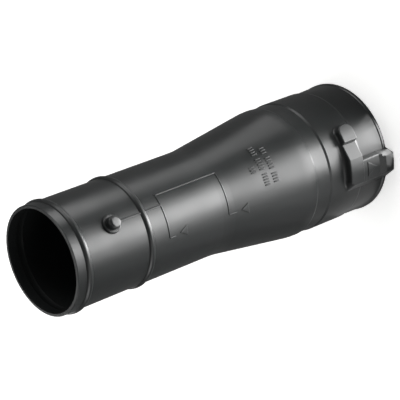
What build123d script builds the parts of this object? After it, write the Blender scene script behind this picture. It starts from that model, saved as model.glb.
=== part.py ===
from build123d import *
import os
from math import asin, atan2, cos, degrees, hypot, radians, sin, tan

# A moulded reducer tube for a garden blower, standing on its wide mouth.
# The axis is Z, the mouth rim lies at z = 0, and +X runs through the entry of the bayonet track.
# Lengths are in millimetres, and angles in degrees about Z from +X.

# Tube
tube_length = 255.0
neck_radius = 35.0
wall = 2.0
rim_round = 0.6

# Sealing beads round the neck, set back from its tip
bead_setbacks = (8.9, 57.2)
bead_height = 1.3
bead_width = 4.7
bead_groove = 0.5

# Zones of the wide end, lengths along the axis from the mouth rim upwards
mouth_lip_length = 2.3
mouth_lip_step = 0.7
collar_length = 19.9
ring_foot = 2.2
ring_length = 26.6
ring_head = 1.5
band_length = 10.9
shoulder_foot = 1.3
shoulder_length = 4.3
flare_length = 64.8
flare_top_blend = 70.0
flare_bottom_blend = 75.0

# Ring that carries the track, its wall round the socket, and how far the other zones differ from it
ring_radius = 43.85
ring_wall = 2.25
collar_drop = 0.7
collar_flare = 0.55
mouth_lip_rise = 0.45
band_drop = 0.65
shoulder_rise = 0.4

# Arm of the bayonet track round the ring: crest, ramp, step and locking pocket
arm_setback = 2.1
arm_width = 12.2
arm_height = 5.75
crest_span = 13.2
ramp_span = 12.4
ramp_foot_height = 2.85
step_span = 1.5
pocket_span = 14.1
pocket_round = 5.0
heel_round = 3.5
foot_round = 1.8
edge_round = 0.8

# Entry of the track along the axis, with a raised lip at the mouth rim
entry_drop = 0.55
entry_upper_side = 8.15
entry_lower_side = 6.3
entry_lean = 39.0
entry_round = 1.1
lip_rise = 1.85
lip_length = 7.9
lip_slope = 4.6
lip_lean = 16.0
lip_round = 1.3

# Bayonet peg on the neck
peg_setback = 32.8
peg_angle = 35.3
peg_radius = 4.2
peg_height = 5.2
peg_round = 0.9
flange_radius = 6.0
flange_height = 1.45
flange_round = 0.7

# Heights of the zones above the mouth rim
collar_bottom = mouth_lip_length + mouth_lip_step
collar_top = collar_bottom + collar_length
ring_bottom = collar_top + ring_foot
ring_top = ring_bottom + ring_length
band_bottom = ring_top + ring_head
band_top = band_bottom + band_length
shoulder_bottom = band_top + shoulder_foot
flare_bottom = shoulder_bottom + shoulder_length
flare_top = flare_bottom + flare_length

# Radii of the zones
socket_radius = ring_radius - ring_wall
collar_radius = ring_radius - collar_drop
collar_foot_radius = collar_radius + collar_flare
mouth_radius = collar_foot_radius + mouth_lip_rise
band_radius = ring_radius - band_drop
shoulder_radius = band_radius + shoulder_rise

# Places of the track
arm_roof = ring_radius + arm_height
ramp_foot = ring_radius + ramp_foot_height
entry_roof = arm_roof - entry_drop
lip_roof = entry_roof + lip_rise
arm_bottom = ring_bottom + arm_setback
arm_middle = arm_bottom + arm_width / 2
lip_seat = lip_length + lip_slope / 2
ramp_foot_angle = crest_span + ramp_span
pocket_angle = ramp_foot_angle + step_span
arm_end_angle = pocket_angle + pocket_span

# Cutting forms reach this far past what they cut
overrun = 10.0
core_radius = socket_radius - 3 * wall
tolerance = 0.01


def polar(radius, angle):
    return (radius * cos(radians(angle)), radius * sin(radians(angle)))


def arc_about_axis(radius, start, end):
    middle = (start + end) / 2
    return ThreePointArc(polar(radius, start), polar(radius, middle), polar(radius, end))


def turned(outline):
    """Solid of revolution of an (r, z) outline about Z, with its seam away from the track."""
    return Rot(0, 0, 180) * revolve(Plane.XZ * outline, Axis.Z)


def rounded_polygon(corners):
    """Face through (r, z, radius) corners, each rounded as far as its sides allow."""
    face = make_face(Polyline(*[(r, z) for r, z, _ in corners], close=True))
    for i, (r, z, radius) in enumerate(corners):
        if radius == 0:
            continue
        before = corners[i - 1]
        after = corners[i + 1]
        turn = atan2(after[1] - z, after[0] - r) - atan2(z - before[1], r - before[0])
        shorter = min(hypot(r - before[0], z - before[1]), hypot(after[0] - r, after[1] - z))
        limit = 0.9 * shorter / abs(tan(turn / 2))
        corner = face.vertices().sort_by_distance((r, z, 0))[0]
        face = fillet(corner, min(radius, limit))
    return face


def bead(radius, setback, height):
    """Ring of circular section that swells from a cylinder of the given radius."""
    middle = tube_length - setback
    low = (radius, middle - bead_width / 2)
    crown = (radius + height, middle)
    high = (radius, middle + bead_width / 2)
    base = radius - wall / 2
    outline = make_face(
        ThreePointArc(low, crown, high)
        + Polyline(high, (base, high[1]), (base, low[1]), low)
    )
    return turned(outline)


def outside():
    """Filled outer form of the tube, without the bayonet track."""
    corners = [
        (0, 0, 0),
        (mouth_radius, 0, rim_round),
        (mouth_radius, mouth_lip_length, 0),
        (collar_foot_radius, collar_bottom, 0),
        (collar_radius, collar_top, 0),
        (ring_radius, ring_bottom, 0),
        (ring_radius, ring_top, 0),
        (band_radius, band_bottom, 0),
        (band_radius, band_top, 0),
        (shoulder_radius, shoulder_bottom, 0),
        (shoulder_radius, flare_bottom, flare_bottom_blend),
        (neck_radius, flare_top, flare_top_blend),
        (neck_radius, tube_length, rim_round),
        (0, tube_length, 0),
    ]
    form = turned(rounded_polygon(corners))
    for setback in bead_setbacks:
        form += bead(neck_radius, setback, bead_height)
    return form


def inside():
    """Air way: a straight socket, then a bore that follows the outer form one wall inside it."""
    corners = [
        (0, -overrun, 0),
        (socket_radius, -overrun, 0),
        (socket_radius, ring_top, 0),
        (band_radius - wall, band_bottom, 0),
        (shoulder_radius - wall, flare_bottom, flare_bottom_blend),
        (neck_radius - wall, flare_top, flare_top_blend),
        (neck_radius - wall, tube_length + overrun, 0),
        (0, tube_length + overrun, 0),
    ]
    form = turned(rounded_polygon(corners))
    for setback in bead_setbacks:
        form += bead(neck_radius - wall, setback, bead_groove)
    return form


def heel():
    """Angle and place of the corner where the crest meets the track's leaning lower wall."""
    angle = -degrees(asin(entry_lower_side / arm_roof))
    return angle, polar(arm_roof, angle)


def lower_wall(x):
    """Point at x on the lower wall, which leans outwards from the heel to the ring."""
    _, corner = heel()
    return (x, corner[1] + (x - corner[0]) * tan(radians(entry_lean)))


def upper_wall(x, lean):
    """Point at x on the upper wall of the entry, which leans in from its foot on the ring."""
    return (x, entry_upper_side - (x - ring_radius) * tan(radians(lean)))


def arm_outline():
    """Section of the arm across the axis: crest, ramp, step up and locking pocket."""
    heel_angle, corner = heel()
    return make_face(
        arc_about_axis(arm_roof, heel_angle, crest_span)
        + Polyline(
            polar(arm_roof, crest_span),
            polar(ramp_foot, ramp_foot_angle),
            polar(arm_roof, pocket_angle),
        )
        + arc_about_axis(arm_roof, pocket_angle, arm_end_angle)
        + Polyline(
            polar(arm_roof, arm_end_angle),
            polar(core_radius, arm_end_angle),
            lower_wall(core_radius),
            corner,
        )
    )


def entry_outline(lean):
    """Section of the entry across the axis, between its upper and lower walls."""
    top = lip_roof + wall
    return make_face(
        Polyline(
            upper_wall(core_radius, lean),
            upper_wall(top, lean),
            lower_wall(top),
            lower_wall(core_radius),
            close=True,
        )
    )


def shrunk(outline, inset):
    return offset(outline, -inset, kind=Kind.INTERSECTION) if inset else outline


def beyond(form, radius):
    """Edges of a form that lie wholly beyond a radius about Z."""
    return form.edges().filter_by(
        lambda edge: min(hypot(*tuple(edge @ t)[:2]) for t in (0, 0.5, 1)) > radius
    )


def track_arm(inset):
    """Arm of the track, one wall smaller where it is the groove inside."""
    floor = Plane.XY.offset(arm_bottom + inset)
    arm = extrude(floor * shrunk(arm_outline(), inset), arm_width - 2 * inset)
    end = Axis((0, 0, 0), (*polar(1, arm_end_angle), 0))
    arm = fillet(arm.edges().filter_by(end), min(pocket_round, 0.45 * arm_width) - inset)
    lean = Axis((0, 0, 0), (*polar(1, entry_lean), 0))
    return fillet(arm.edges().filter_by(lean).sort_by(Axis.Z)[-1], heel_round - inset)


def arm_on_ring():
    """Arm with its roof edges rounded, blended at its foot into a drum of the ring's size."""
    creases = (polar(ramp_foot, ramp_foot_angle), polar(arm_roof, crest_span))
    arm = track_arm(0)
    edges = beyond(arm, ramp_foot - tolerance).filter_by(
        lambda edge: all(hypot((edge @ 0.5).X - x, (edge @ 0.5).Y - y) > tolerance for x, y in creases)
    )
    arm = fillet(edges, edge_round)
    drum = Cylinder(ring_radius, ring_length, align=(Align.CENTER, Align.CENTER, Align.MIN))
    form = Pos(0, 0, ring_bottom) * Rot(0, 0, 180) * drum + arm
    feet = beyond(form, ring_radius - tolerance).filter_by(
        lambda edge: hypot((edge @ 0.5).X, (edge @ 0.5).Y) < ring_radius + tolerance
        and (edge @ 0.5).X > 0
        and ring_bottom + tolerance < (edge @ 0.5).Z < ring_top - tolerance
    )
    return fillet(feet, min(foot_round, 0.9 * (ramp_foot_height - edge_round)))


def track_entry(low, high, lean, inset):
    """Stretch of the entry between two heights, under a roof that rises to the lip at the rim."""
    section = make_face(
        Polyline(
            (core_radius, -overrun),
            (lip_roof - inset, -overrun),
            (lip_roof - inset, lip_length),
            (entry_roof - inset, lip_length + lip_slope),
            (entry_roof - inset, arm_middle),
            (core_radius, arm_middle),
            close=True,
        )
    )
    slab = extrude(Plane.XY.offset(low) * shrunk(entry_outline(lean), inset), high - low)
    return turned(section) & slab


def rounded_roof(entry, radius):
    """Stretch of the entry with the lengthwise edges of its roof, and that at the rim, rounded."""
    edges = beyond(entry, entry_roof - tolerance).filter_by(
        lambda edge: abs((edge @ 0).Z - (edge @ 1).Z) > tolerance or (edge @ 0.5).Z < tolerance
    )
    return fillet(edges, radius)


def peg():
    """Stud on a round flange, standing on the neck."""
    sunk = neck_radius - wall / 2
    corners = [
        (0, sunk, 0),
        (flange_radius, sunk, 0),
        (flange_radius, neck_radius + flange_height, flange_round),
        (peg_radius, neck_radius + flange_height, 0),
        (peg_radius, neck_radius + peg_height, peg_round),
        (0, neck_radius + peg_height, 0),
    ]
    stud = turned(rounded_polygon(corners))
    return Pos(0, 0, tube_length - peg_setback) * Rot(0, 0, peg_angle) * Rot(0, 90, 0) * stud


shell = outside() + arm_on_ring() + peg()
shell += rounded_roof(track_entry(lip_seat, arm_middle, 0, 0), entry_round)
shell += rounded_roof(track_entry(0, lip_seat, lip_lean, 0), lip_round)
groove = track_arm(wall)
groove += track_entry(lip_seat, arm_middle, 0, wall)
groove += track_entry(-overrun, lip_seat, lip_lean, wall)
tube = shell - inside() - groove

os.makedirs("parts", exist_ok=True)
export_step(tube, "parts/connecting_tube.step")
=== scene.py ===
"""A satin black blower tube standing on its wide rim on a pale table, under soft light."""

import bpy
import numpy as np
from mathutils import Matrix, Vector


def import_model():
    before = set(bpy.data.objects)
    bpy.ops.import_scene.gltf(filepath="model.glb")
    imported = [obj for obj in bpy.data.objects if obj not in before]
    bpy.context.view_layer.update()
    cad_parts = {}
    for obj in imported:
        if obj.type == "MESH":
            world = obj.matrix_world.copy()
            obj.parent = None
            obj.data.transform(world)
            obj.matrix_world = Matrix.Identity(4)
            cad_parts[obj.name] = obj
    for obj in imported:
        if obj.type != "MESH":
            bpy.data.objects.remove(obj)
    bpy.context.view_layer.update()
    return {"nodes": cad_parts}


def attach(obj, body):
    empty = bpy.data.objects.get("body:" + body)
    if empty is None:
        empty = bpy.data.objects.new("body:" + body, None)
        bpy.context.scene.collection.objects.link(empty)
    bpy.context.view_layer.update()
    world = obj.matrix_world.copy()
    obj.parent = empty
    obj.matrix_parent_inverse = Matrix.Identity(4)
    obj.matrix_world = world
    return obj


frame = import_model()

MM = 0.001

# Form of the tube that the moulded marks sit on, in millimetres
TUBE_LENGTH = 255.0
NECK_RADIUS = 35.0
SHOULDER_RADIUS = 43.6
FLARE_TOP = 134.5
FLARE_BOTTOM = 69.7
FLARE_TOP_BLEND = 70.0
ENTRY_ROOF = 49.05

# Moulded guide lines: heights above the rim in millimetres, angles about the axis from +X in
# degrees, and the steps that a line's skin is drawn in
GUIDE_WIDTH = 0.9
GUIDE_HEIGHT = 0.4
GUIDE_SINK = 0.25
GUIDE_STEPS_AT_END = 6
GUIDE_STEPS_ROUND = 16
GUIDE_FEWEST_STEPS = 3
UPPER_LINE = 183.6
LOWER_LINE = 134.7
LINE_END_ANGLE = 0.7
TOP_LINE_ANGLE = 47.3
UPPER_LINE_OVERRUN = 0.7
UPPER_FOOT = 4.7
LOWER_FOOT = 6.0
PEG_LINE_TOP = 217.3
PEG_LINE_ANGLE = 35.7
PEG_LINE_WIDTH = 1.3
PEG_LINE_HEIGHT = 0.55
PEG_LINE_LEAN = 0.9

# Moulded triangles: the height and angle of each apex, and the size from there
TRIANGLE_HEIGHT = 0.45
TRIANGLE_SQUARENESS = 0.35
TRIANGLE_STEPS_ACROSS = 21
TRIANGLE_STEPS_ROUND = 60
NECK_TRIANGLES = ((175.2, 2.5), (125.4, 1.7))
NECK_TRIANGLE_DEPTH = 5.8
NECK_TRIANGLE_HALF_BASE = 3.45
ENTRY_TRIANGLE = (15.1, 1.3)
ENTRY_TRIANGLE_DEPTH = 8.5
ENTRY_TRIANGLE_HALF_BASE = 4.9

# Crown of the bayonet peg, whose face leans a little to one side: sizes in millimetres, angles
# in degrees
PEG_PLACE = 222.2
PEG_ANGLE = 35.3
PEG_END_RADIUS = 40.2
CROWN_RADIUS = 3.5
CROWN_HEIGHT = 0.15
CROWN_SINK = 0.2
CROWN_LEAN = 7.0
CROWN_LEAN_TURN = 30.0
CROWN_EDGE_POWER = 8
CROWN_STEPS_OUT = 17
CROWN_STEPS_ROUND = 48

# Tally strokes on the flare: height of each row's middle, its first angle, its groups of strokes
TALLY_ROWS = (
    (109.6, 32.0, (3,)),
    (102.7, 17.0, (5, 5, 4)),
    (95.8, 17.5, (4, 5, 3)),
)
TALLY_LENGTH = 4.2
TALLY_WIDTH = 0.85
TALLY_HEIGHT = 0.6
TALLY_PITCH = 1.55
TALLY_GAP = 1.6

# Table, a hair under the rim, in millimetres
TABLE_SIZE = 8000.0
TABLE_DROP = 0.05

# Camera of the picture, in the tube's frame, in millimetres
CAMERA_PLACE = (837.97, 409.71, 845.57)
CAMERA_RIGHT = (0.66942, -0.07355, -0.73924)
CAMERA_UP = (-0.21234, 0.93463, -0.28528)
CAMERA_LENS = 166.5
CAMERA_SENSOR = 36.0
CAMERA_CLIP = (10.0, 20000.0)

# Light: strength is the brightness of a bare lamp's face, where 1 is white. A grid gathers the
# same power within its opening angle, so its face is brighter seen straight on.
ROOM_STRENGTH = 0.15
WHITE_STRENGTH = 1.0
SOFTBOX_SIZE = 900.0
SOFTBOX_DISTANCE = 1500.0
# Softboxes round the tube: azimuth and elevation in degrees, strength
SOFTBOXES = (
    ("overhead softbox", 180.0, 75.0, 4.0),
    ("side softbox", -60.0, 15.0, 2.0),
    ("front softbox", -20.0, 10.0, 0.9),
    ("back softbox", -135.0, 15.0, 2.4),
    ("edge softbox", 97.0, 16.0, 2.7),
)
# Opening angles in degrees of a bare lamp, and of grids that keep the light from leaving flat
BARE = 180.0
WIDE_GRID = 160.0
GRID = 150.0
STEEP_GRID = 86.0
# Light panels that lie face up on the table: azimuth in degrees, near and far end, width and
# level in millimetres, strength, opening angle. Where panels overlap, their light adds up.
TABLE_PANELS = (
    ("front panel foot", 23.5, 44.4, 66.0, 15.0, 0.3, 3.0, GRID),
    ("front panel foot border", 23.5, 44.4, 66.0, 25.0, 0.4, 2.2, GRID),
    ("front panel foot edge", 23.5, 44.4, 66.0, 36.0, 0.5, 1.6, GRID),
    ("front skirt foot", 19.0, 50.0, 66.0, 44.0, 0.6, 2.0, GRID),
    ("front panel near", 21.0, 66.0, 95.0, 45.0, 0.3, 3.9, GRID),
    ("front skirt near", 21.0, 66.0, 95.0, 72.0, 0.6, 2.6, GRID),
    ("front panel ring", 20.5, 95.0, 130.0, 58.0, 0.3, 8.9, GRID),
    ("front panel flare", 21.0, 130.0, 170.0, 135.0, 0.3, 10.0, WIDE_GRID),
    ("front panel cone", 20.0, 170.0, 215.0, 112.0, 0.3, 8.2, WIDE_GRID),
    ("front panel middle", 20.0, 215.0, 260.0, 112.0, 0.3, 5.3, WIDE_GRID),
    ("front panel far", 20.0, 260.0, 400.0, 150.0, 0.3, 7.0, WIDE_GRID),
    ("front panel end", 20.0, 400.0, 600.0, 220.0, 0.3, 5.5, WIDE_GRID),
    ("front skirt middle", 18.0, 170.0, 260.0, 230.0, 0.6, 2.3, WIDE_GRID),
    ("front skirt far", 19.0, 260.0, 400.0, 360.0, 0.6, 4.1, WIDE_GRID),
    ("front skirt end", 20.0, 400.0, 600.0, 480.0, 0.6, 1.9, WIDE_GRID),
    ("fill panel foot", -46.0, 47.0, 74.0, 80.0, 0.9, 0.36, BARE),
    ("fill panel near", -44.0, 74.0, 130.0, 120.0, 0.9, 0.16, BARE),
    ("fill skirt near", -16.0, 74.0, 130.0, 70.0, 1.2, 0.22, BARE),
    ("fill panel", -12.0, 130.0, 560.0, 150.0, 0.9, 0.5, BARE),
    ("fill skirt", -25.0, 130.0, 560.0, 260.0, 1.2, 0.25, BARE),
    ("side panel near", 97.0, 130.0, 380.0, 120.0, 0.3, 1.25, BARE),
    ("side panel far", 97.0, 380.0, 620.0, 260.0, 0.3, 4.7, BARE),
    ("front grid panel", 22.0, 80.0, 180.0, 80.0, 0.9, 5.0, STEEP_GRID),
)


def linear(hex_colour):
    """sRGB hex to linear red, green, blue and alpha."""
    srgb = np.array([int(hex_colour[i:i + 2], 16) for i in (1, 3, 5)]) / 255
    rgb = np.where(srgb <= 0.04045, srgb / 12.92, ((srgb + 0.055) / 1.055) ** 2.4)
    return (*rgb, 1.0)


def add_node(tree, kind, settings=None, inputs=None):
    """Adds a node, sets its properties, then sets each input or links it to an output."""
    node = tree.nodes.new(kind)
    for name, value in (settings or {}).items():
        setattr(node, name, value)
    for name, value in (inputs or {}).items():
        if isinstance(value, bpy.types.NodeSocket):
            tree.links.new(value, node.inputs[name])
        else:
            node.inputs[name].default_value = value
    return node


def new_material(name):
    """Empty material and its node tree."""
    material = bpy.data.materials.new(name)
    material.use_nodes = True
    material.node_tree.nodes.clear()
    return material, material.node_tree


def blow_moulded_polyethylene():
    """Black polyethylene blown against a sand-blasted mould.

    The pigment swallows nearly all light, so the eye sees the waxy satin skin: broad soft
    highlights. The mould's grain and a slow waviness of the wall hardly break them.
    """
    # The grain is drawn coarser than the mould's. Grain and waves are faint and hardly show.
    grain_mm, grain_depth_mm, grain_share = 0.5, 0.05, 0.12
    wave_mm, wave_depth_mm, wave_share = 14.0, 0.15, 0.5
    wave_low, wave_high = 0.3, 0.7
    glossy, dull = 0.29, 0.35
    material, tree = new_material("black blow-moulded polyethylene")
    place = add_node(tree, "ShaderNodeTexCoord").outputs["Object"]
    grain = add_node(
        tree, "ShaderNodeTexNoise",
        inputs={"Vector": place, "Scale": 1 / (grain_mm * MM), "Detail": 2.0, "Roughness": 0.6},
    ).outputs["Fac"]
    wave = add_node(
        tree, "ShaderNodeTexNoise",
        inputs={"Vector": place, "Scale": 1 / (wave_mm * MM), "Detail": 1.0, "Roughness": 0.5},
    ).outputs["Fac"]
    gloss = add_node(
        tree, "ShaderNodeMapRange",
        inputs={
            "Value": wave,
            "From Min": wave_low,
            "From Max": wave_high,
            "To Min": glossy,
            "To Max": dull,
        },
    ).outputs["Result"]
    waviness = add_node(
        tree, "ShaderNodeBump",
        inputs={"Height": wave, "Strength": wave_share, "Distance": wave_depth_mm * MM},
    ).outputs["Normal"]
    bump = add_node(
        tree, "ShaderNodeBump",
        inputs={
            "Height": grain,
            "Strength": grain_share,
            "Distance": grain_depth_mm * MM,
            "Normal": waviness,
        },
    ).outputs["Normal"]
    shader = add_node(
        tree, "ShaderNodeBsdfPrincipled",
        inputs={
            "Base Color": linear("#202222"),
            "Roughness": gloss,
            "IOR": 1.54,
            "Normal": bump,
        },
    )
    add_node(tree, "ShaderNodeOutputMaterial", inputs={"Surface": shader.outputs["BSDF"]})
    return material


def table_paper():
    """White matt paper, lifted for the camera, so that it reads as white round a light shadow.

    The lift grows with the distance from the tube, until the paper runs into the white room.
    """
    near_mm, far_mm = 300.0, 1200.0
    near_lift, far_lift = 0.55, 1.0
    material, tree = new_material("white matt table paper")
    paper = add_node(
        tree, "ShaderNodeBsdfDiffuse", inputs={"Color": linear("#f4f4f2")}
    ).outputs["BSDF"]
    place = add_node(tree, "ShaderNodeTexCoord").outputs["Object"]
    distance = add_node(
        tree, "ShaderNodeVectorMath", {"operation": "LENGTH"}, {0: place}
    ).outputs["Value"]
    strength = add_node(
        tree, "ShaderNodeMapRange",
        inputs={
            "Value": distance,
            "From Min": near_mm * MM,
            "From Max": far_mm * MM,
            "To Min": near_lift,
            "To Max": far_lift,
        },
    ).outputs["Result"]
    seen = add_node(tree, "ShaderNodeLightPath").outputs["Is Camera Ray"]
    strength = add_node(
        tree, "ShaderNodeMath", {"operation": "MULTIPLY"}, {0: seen, 1: strength}
    ).outputs["Value"]
    lift = add_node(
        tree, "ShaderNodeEmission", inputs={"Color": linear("#ffffff"), "Strength": strength}
    ).outputs["Emission"]
    both = add_node(tree, "ShaderNodeAddShader", inputs={0: paper, 1: lift})
    add_node(tree, "ShaderNodeOutputMaterial", inputs={"Surface": both.outputs["Shader"]})
    return material


def closed_form(grid):
    """Points and faces of a closed skin from an array of rows by columns by xyz.

    Each column closes on the first. The first and the last row are single points, the poles.
    """
    rows, columns = grid.shape[:2]
    points = np.concatenate([grid[0, :1], grid[1:-1].reshape(-1, 3), grid[-1, :1]])
    ring = 1 + np.arange((rows - 2) * columns).reshape(rows - 2, columns)
    turned = np.roll(ring, -1, axis=1)
    quads = np.stack([ring[:-1], turned[:-1], turned[1:], ring[1:]], axis=-1).reshape(-1, 4)
    first = np.stack([0 * ring[0], turned[0], ring[0]], axis=-1)
    last = np.stack([ring[-1], turned[-1], 0 * ring[-1] + len(points) - 1], axis=-1)
    return points, first.tolist() + quads.tolist() + last.tolist()


def piece(name, forms, material):
    """One object from several (points, faces) forms in millimetres."""
    starts = np.cumsum([0] + [len(points) for points, _ in forms])
    faces = [
        [start + i for i in face] for start, (_, form) in zip(starts, forms) for face in form
    ]
    mesh = bpy.data.meshes.new(name)
    mesh.from_pydata(np.concatenate([points for points, _ in forms]) * MM, [], faces)
    mesh.shade_smooth()
    mesh.materials.append(material)
    made = bpy.data.objects.new(name, mesh)
    bpy.context.scene.collection.objects.link(made)
    return made


def tube_radius(height):
    """Outer radius at a height: the neck's cylinder, then a cone, joined by a round blend.

    The blend is a circle tangent to both lines. It holds from the cylinder down to where it
    meets the cone, and the cone holds below.
    """
    slope = (SHOULDER_RADIUS - NECK_RADIUS) / (FLARE_TOP - FLARE_BOTTOM)
    angle = np.arctan(slope)
    reach = FLARE_TOP_BLEND * np.tan(angle / 2)
    start = FLARE_TOP + reach
    end = FLARE_TOP - reach * np.cos(angle)
    down = np.clip(start - height, 0, start - end)
    blend = NECK_RADIUS + FLARE_TOP_BLEND - np.sqrt(FLARE_TOP_BLEND**2 - down**2)
    cone = NECK_RADIUS + slope * (FLARE_TOP - height)
    return np.where(height < end, cone, blend)


def entry_roof(height):
    """The entry's roof is a cylinder about the axis."""
    return ENTRY_ROOF + 0 * height


def on_tube(along, height, lift, radius_at):
    """Point from its arc along the neck's girth, its height and its lift off the skin."""
    angle = along / NECK_RADIUS
    radius = radius_at(height) + lift
    x, y = radius * np.cos(angle), radius * np.sin(angle)
    return np.stack([x, y, height + 0 * angle], axis=-1)


def girth(angle):
    """Arc along the neck's girth at an angle in degrees."""
    return NECK_RADIUS * np.radians(angle)


def ridge(start, end, width, rise=GUIDE_HEIGHT, lean=0.0):
    """Raised line between two (arc, height) points.

    The first parameter runs along the line, and its sine draws both ends in to a point over
    half the width. The second runs round an ellipse that is partly sunk into the skin and
    sheared to one side by a share of its lift.
    """
    start, end = np.array(start), np.array(end)
    length = np.hypot(*(end - start))
    forward = (end - start) / length
    sideways = np.array([-forward[1], forward[0]])
    tip = np.linspace(0, np.pi / 2, GUIDE_STEPS_AT_END)
    cap = width / 2
    first = cap * (1 - np.cos(tip))
    middle = np.linspace(cap, length - cap, max(int(length), GUIDE_FEWEST_STEPS))[1:-1]
    s = np.concatenate([first, middle, length - first[::-1]])[:, None]
    swell = np.concatenate([np.sin(tip), np.ones(len(middle)), np.sin(tip[::-1])])[:, None]
    turn = np.linspace(0, 2 * np.pi, GUIDE_STEPS_ROUND, endpoint=False)
    swing = swell * (rise + GUIDE_SINK) / 2 * np.sin(turn)
    lift = swing + (rise - GUIDE_SINK) / 2
    across = swell * width / 2 * np.cos(turn) + lean * swing
    along = start[0] + forward[0] * s + sideways[0] * across
    height = start[1] + forward[1] * s + sideways[1] * across
    return closed_form(on_tube(along, height, lift, tube_radius))


def plateau(apex, depth, half_base, radius_at):
    """Raised triangle with its apex at an (arc, height) point.

    The first parameter runs over half a turn, from the middle of the top out to the edge and
    back under the skin, as a squarish oval. The second runs round the triangle's outline.
    """
    apex = np.array(apex)
    corners = np.array([apex, apex + (half_base, depth), apex + (-half_base, depth), apex])
    # Either way up, the outline runs clockwise, so that the faces look outwards
    if depth > 0:
        corners = corners[::-1]
    middle = corners[:3].mean(axis=0)
    t = np.linspace(0, 3, TRIANGLE_STEPS_ROUND, endpoint=False)
    outline = np.stack([np.interp(t, range(4), corners[:, i]) for i in (0, 1)], axis=-1)
    turn = np.linspace(0, np.pi, TRIANGLE_STEPS_ACROSS)
    reach = np.abs(np.sin(turn)) ** TRIANGLE_SQUARENESS
    level = np.sign(np.cos(turn)) * np.abs(np.cos(turn)) ** TRIANGLE_SQUARENESS
    reach[[0, -1]] = 0
    lift = (TRIANGLE_HEIGHT + GUIDE_SINK) / 2 * level + (TRIANGLE_HEIGHT - GUIDE_SINK) / 2
    flat = middle + reach[:, None, None] * (outline - middle)
    return closed_form(on_tube(flat[..., 0], flat[..., 1], lift[:, None], radius_at))


def guide_lines():
    """The lines that frame the neck, each a ridge."""
    left = girth(LINE_END_ANGLE)
    right = girth(TOP_LINE_ANGLE)
    peg = girth(PEG_LINE_ANGLE)
    peg_line = (PEG_LINE_WIDTH, PEG_LINE_HEIGHT, PEG_LINE_LEAN)
    return [
        ridge((left, UPPER_LINE), (right + UPPER_LINE_OVERRUN, UPPER_LINE), GUIDE_WIDTH),
        ridge((left, LOWER_LINE), (right, LOWER_LINE), GUIDE_WIDTH),
        ridge((right, LOWER_LINE), (right, UPPER_LINE), GUIDE_WIDTH),
        ridge((peg, UPPER_LINE), (peg, PEG_LINE_TOP), *peg_line),
        ridge((left, UPPER_LINE), (left, UPPER_LINE - UPPER_FOOT), GUIDE_WIDTH),
        ridge((left, LOWER_LINE), (left, LOWER_LINE - LOWER_FOOT), GUIDE_WIDTH),
    ]


def triangles():
    """Triangles that point to the neck's tip, and one on the entry that points to the rim."""
    size = (-NECK_TRIANGLE_DEPTH, NECK_TRIANGLE_HALF_BASE)
    neck = [
        plateau((girth(angle), height), *size, tube_radius) for height, angle in NECK_TRIANGLES
    ]
    height, angle = ENTRY_TRIANGLE
    shrink = NECK_RADIUS / ENTRY_ROOF
    size = (ENTRY_TRIANGLE_DEPTH, ENTRY_TRIANGLE_HALF_BASE * shrink)
    return neck + [plateau((girth(angle), height), *size, entry_roof)]


def tally_strokes():
    """Rows of short upright ridges in groups, as a moulder's tally."""
    strokes = []
    for height, first_angle, groups in TALLY_ROWS:
        low, high = height - TALLY_LENGTH / 2, height + TALLY_LENGTH / 2
        along = girth(first_angle)
        for count in groups:
            for _ in range(count):
                strokes.append(ridge((along, low), (along, high), TALLY_WIDTH, TALLY_HEIGHT))
                along += TALLY_PITCH
            along += TALLY_GAP
    return strokes


def crown():
    """Shallow crown on the flat end of the peg.

    The first parameter runs from the middle of the end out to its edge and back below it. The
    upper face is a leaning plane with a slight bulge, and a high power of the way out rounds it
    down at the edge. The second parameter runs round the peg's axis.
    """
    out = np.linspace(0, 1, CROWN_STEPS_OUT)
    out = np.concatenate([out, out[-2::-1]])[:, None]
    upper = (np.arange(len(out)) < CROWN_STEPS_OUT)[:, None]
    turn = np.linspace(0, 2 * np.pi, CROWN_STEPS_ROUND, endpoint=False)
    lean = CROWN_RADIUS * np.tan(np.radians(CROWN_LEAN))
    plane = lean * (1 + out * np.cos(turn + np.radians(CROWN_LEAN_TURN)))
    rounding = 1 - out**CROWN_EDGE_POWER
    top = (plane + CROWN_HEIGHT * (1 - out**2)) * rounding
    lift = PEG_END_RADIUS + np.where(upper, top, -CROWN_SINK * rounding)
    across, up = CROWN_RADIUS * out * np.cos(turn), -CROWN_RADIUS * out * np.sin(turn)
    angle = np.radians(PEG_ANGLE)
    x = lift * np.cos(angle) - across * np.sin(angle)
    y = lift * np.sin(angle) + across * np.cos(angle)
    return [closed_form(np.stack([x, y, PEG_PLACE + up], axis=-1))]


def table():
    """Flat square of paper under the rim, its corners listed anticlockwise from above."""
    half = TABLE_SIZE / 2
    square = [(-half, -half), (half, -half), (half, half), (-half, half)]
    points = np.array([(x, y, -TABLE_DROP) for x, y in square])
    return piece("table", [(points, [[0, 1, 2, 3]])], table_paper())


def area_lamp(name, place, turn, size, strength, opening=BARE):
    """Soft lamp of a size in millimetres whose face has a strength, unseen by the camera."""
    data = bpy.data.lights.new(name, "AREA")
    data.shape = "RECTANGLE"
    data.size, data.size_y = size[0] * MM, size[1] * MM
    data.energy = strength * np.pi * data.size * data.size_y
    data.spread = np.radians(opening)
    lamp = bpy.data.objects.new(name, data)
    lamp.location = Vector(place) * MM
    lamp.rotation_euler = turn
    lamp.visible_camera = False
    bpy.context.scene.collection.objects.link(lamp)


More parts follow.
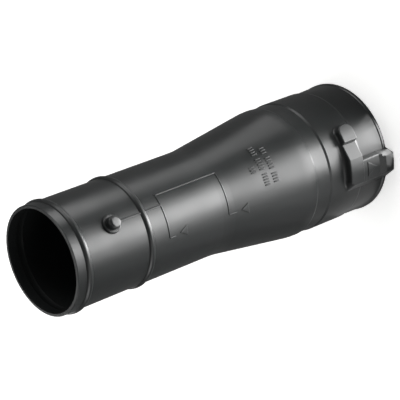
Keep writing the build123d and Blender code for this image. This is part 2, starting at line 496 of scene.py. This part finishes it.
def softbox(name, azimuth, elevation, strength):
    """Square softbox that faces the middle of the tube."""
    middle = Vector((0, 0, TUBE_LENGTH / 2))
    azimuth, elevation = np.radians((azimuth, elevation))
    level = np.cos(elevation)
    away = Vector((level * np.cos(azimuth), level * np.sin(azimuth), np.sin(elevation)))
    turn = (-away).to_track_quat("-Z", "Y").to_euler()
    size = (SOFTBOX_SIZE, SOFTBOX_SIZE)
    area_lamp(name, middle + away * SOFTBOX_DISTANCE, turn, size, strength)


def table_panel(name, azimuth, near, far, width, level, strength, opening):
    """Light panel that lies on the table, face up, and runs straight out from the tube."""
    azimuth = np.radians(azimuth)
    reach = (near + far) / 2
    place = (reach * np.cos(azimuth), reach * np.sin(azimuth), level)
    area_lamp(name, place, (np.pi, 0, azimuth), (far - near, width), strength, opening)


def camera():
    """Camera from its place and its right and up directions, which are squared first."""
    data = bpy.data.cameras.new("camera")
    data.lens = CAMERA_LENS
    data.sensor_width = CAMERA_SENSOR
    data.clip_start, data.clip_end = (reach * MM for reach in CAMERA_CLIP)
    right, up = Vector(CAMERA_RIGHT).normalized(), Vector(CAMERA_UP)
    back = right.cross(up).normalized()
    up = back.cross(right)
    turn = Matrix((right, up, back)).transposed().to_4x4()
    viewer = bpy.data.objects.new("camera", data)
    viewer.matrix_world = Matrix.Translation(Vector(CAMERA_PLACE) * MM) @ turn
    bpy.context.scene.collection.objects.link(viewer)
    bpy.context.scene.camera = viewer


def world():
    """Grey room for the object, white for the camera."""
    scene = bpy.context.scene
    scene.world = bpy.data.worlds.new("room")
    scene.world.use_nodes = True
    tree = scene.world.node_tree
    tree.nodes.clear()
    room, white = (
        add_node(
            tree, "ShaderNodeBackground", inputs={"Color": linear("#ffffff"), "Strength": strength}
        ).outputs["Background"]
        for strength in (ROOM_STRENGTH, WHITE_STRENGTH)
    )
    seen = add_node(tree, "ShaderNodeLightPath").outputs["Is Camera Ray"]
    mix = add_node(tree, "ShaderNodeMixShader", inputs={0: seen, 1: room, 2: white})
    add_node(tree, "ShaderNodeOutputWorld", inputs={"Surface": mix.outputs["Shader"]})


plastic = blow_moulded_polyethylene()
tube = frame["nodes"]["connecting_tube"]
tube.data.materials.clear()
tube.data.materials.append(plastic)

for name, forms in (
    ("guide_lines", guide_lines()),
    ("direction_triangles", triangles()),
    ("tally_strokes", tally_strokes()),
    ("peg_crown", crown()),
):
    marks = piece(name, forms, plastic)
    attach(marks, "root")

# The plastic mirrors the panels and the room, not the paper, so its outline stays dark
floor = table()
floor.visible_glossy = False

camera()
world()
for values in SOFTBOXES:
    softbox(*values)
for values in TABLE_PANELS:
    table_panel(*values)

bpy.context.scene.view_settings.view_transform = "Standard"
